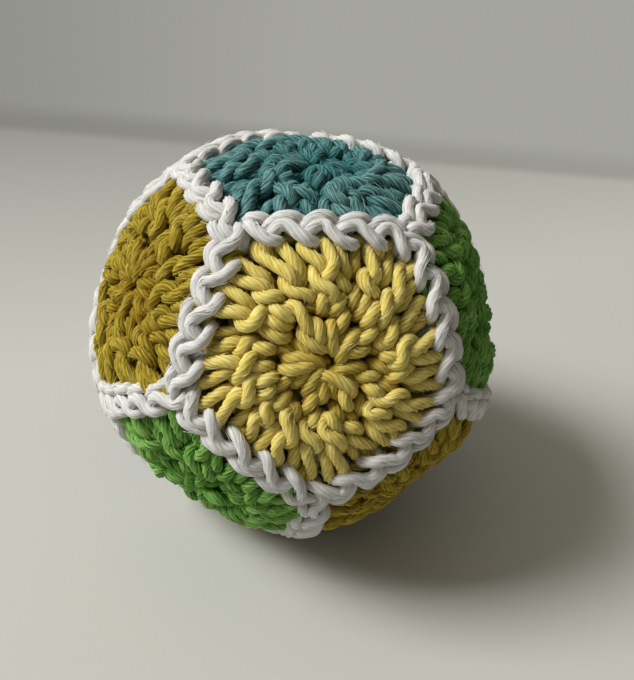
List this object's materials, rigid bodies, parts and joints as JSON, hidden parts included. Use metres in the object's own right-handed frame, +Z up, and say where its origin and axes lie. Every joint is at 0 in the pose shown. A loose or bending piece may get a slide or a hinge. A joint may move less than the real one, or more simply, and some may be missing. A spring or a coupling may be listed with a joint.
{
  "type": "crochet ball",
  "caption": "Soft stuffed ball of crocheted five-sided cotton panels in four colours, joined by raised white crocheted seams, for throwing, rolling and holding.",
  "frame": {"origin": "point on the table under the ball's centre, in the plane of its flattened foot", "axes": "+Z up through the middle of the top panel, -Y towards the first panel of the upper ring, +X to the right when looking along +Y"},
  "size_m": [0.1, 0.0992, 0.0967],
  "materials": {
    "yellow_cotton": "matte",
    "teal_cotton": "matte",
    "olive_cotton": "matte",
    "green_cotton": "matte",
    "white_cotton": "matte",
    "fibre_fill": "matte"
  },
  "bodies": {
    "root": {"stuffing": "fibre_fill", "panel_top": "teal_cotton", "panel_upper_1": "yellow_cotton", "panel_upper_2": "green_cotton", "panel_upper_3": "olive_cotton", "panel_upper_4": "yellow_cotton", "panel_upper_5": "olive_cotton", "panel_lower_1": "olive_cotton", "panel_lower_2": "teal_cotton", "panel_lower_3": "green_cotton", "panel_lower_4": "teal_cotton", "panel_lower_5": "green_cotton", "panel_bottom": "yellow_cotton", "seam_top_upper_1": "white_cotton", "seam_top_upper_2": "white_cotton", "seam_top_upper_3": "white_cotton", "seam_top_upper_4": "white_cotton", "seam_top_upper_5": "white_cotton", "seam_upper_1_upper_2": "white_cotton", "seam_upper_2_upper_3": "white_cotton", "seam_upper_3_upper_4": "white_cotton", "seam_upper_4_upper_5": "white_cotton", "seam_upper_1_upper_5": "white_cotton", "seam_upper_1_lower_1": "white_cotton", "seam_upper_1_lower_5": "white_cotton", "seam_upper_2_lower_1": "white_cotton", "seam_upper_2_lower_2": "white_cotton", "seam_upper_3_lower_2": "white_cotton", "seam_lower_3_upper_3": "white_cotton", "seam_lower_3_upper_4": "white_cotton", "seam_lower_4_upper_4": "white_cotton", "seam_lower_4_upper_5": "white_cotton", "seam_lower_5_upper_5": "white_cotton", "seam_lower_1_lower_2": "white_cotton", "seam_lower_3_lower_2": "white_cotton", "seam_lower_3_lower_4": "white_cotton", "seam_lower_4_lower_5": "white_cotton", "seam_lower_5_lower_1": "white_cotton", "seam_lower_1_bottom": "white_cotton", "seam_lower_2_bottom": "white_cotton", "seam_lower_3_bottom": "white_cotton", "seam_lower_4_bottom": "white_cotton", "seam_lower_5_bottom": "white_cotton"}
  },
  "joints": []
}
